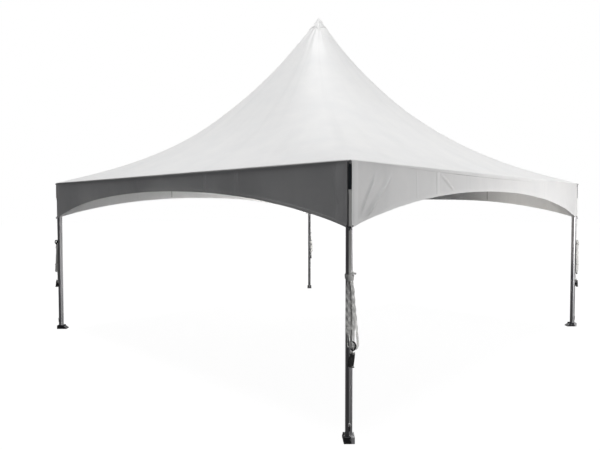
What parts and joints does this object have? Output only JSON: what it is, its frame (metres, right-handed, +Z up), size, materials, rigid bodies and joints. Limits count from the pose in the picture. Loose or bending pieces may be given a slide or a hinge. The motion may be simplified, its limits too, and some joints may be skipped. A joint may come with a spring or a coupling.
{
  "type": "high peak marquee tent",
  "caption": "High peak marquee tent: square white canopy with arched valances, on aluminium legs and eave beams, with a mast carried on crossed cables.",
  "frame": {"origin": "on the ground, in the middle of the bay under the mast", "axes": "+Z up; X and Y run along the tent's sides, and the corner nearest the picture's camera is at -X -Y"},
  "size_m": [6.2239, 6.2239, 5.1],
  "materials": {
    "canopy_cloth": "white coated polyester cloth, slightly glossy",
    "frame_aluminium": "mill finish extrusion, dulled",
    "fitting_steel": "zinc plated, dull",
    "cable_steel": "galvanized wire rope",
    "foot_steel": "dark paint, worn",
    "anchor_webbing": "black woven webbing",
    "guy_webbing": "off-white woven webbing",
    "ratchet_steel": "black coated steel"
  },
  "bodies": {
    "root": {"leg_front": "frame_aluminium", "leg_left": "frame_aluminium", "leg_right": "frame_aluminium", "leg_back": "frame_aluminium", "foot_front": "foot_steel", "foot_left": "foot_steel", "foot_right": "foot_steel", "foot_back": "foot_steel", "corner_fitting_front": "fitting_steel", "corner_fitting_left": "fitting_steel", "corner_fitting_right": "fitting_steel", "corner_fitting_back": "fitting_steel", "eave_beam_front_left": "frame_aluminium", "eave_beam_front_right": "frame_aluminium", "eave_beam_back_left": "frame_aluminium", "eave_beam_back_right": "frame_aluminium", "roof_panel_front_left": "canopy_cloth", "roof_panel_front_right": "canopy_cloth", "roof_panel_back_left": "canopy_cloth", "roof_panel_back_right": "canopy_cloth", "valance_front_left": "canopy_cloth", "valance_front_right": "canopy_cloth", "valance_back_left": "canopy_cloth", "valance_back_right": "canopy_cloth", "peak_cap": "canopy_cloth", "mast": "frame_aluminium", "mast_hub": "fitting_steel", "cable_front": "cable_steel", "cable_left": "cable_steel", "cable_right": "cable_steel", "cable_back": "cable_steel", "anchor_loop_front": "anchor_webbing", "anchor_loop_left": "anchor_webbing", "anchor_loop_right": "anchor_webbing", "anchor_loop_back": "anchor_webbing", "guy_strap_front": "guy_webbing", "guy_strap_left": "guy_webbing", "guy_strap_right": "guy_webbing", "guy_strap_back": "guy_webbing", "guy_hank_front": "guy_webbing", "guy_hank_left": "guy_webbing", "guy_hank_right": "guy_webbing", "guy_hank_back": "guy_webbing", "ratchet_front": "ratchet_steel", "ratchet_left": "ratchet_steel", "ratchet_right": "ratchet_steel", "ratchet_back": "ratchet_steel"}
  },
  "joints": []
}
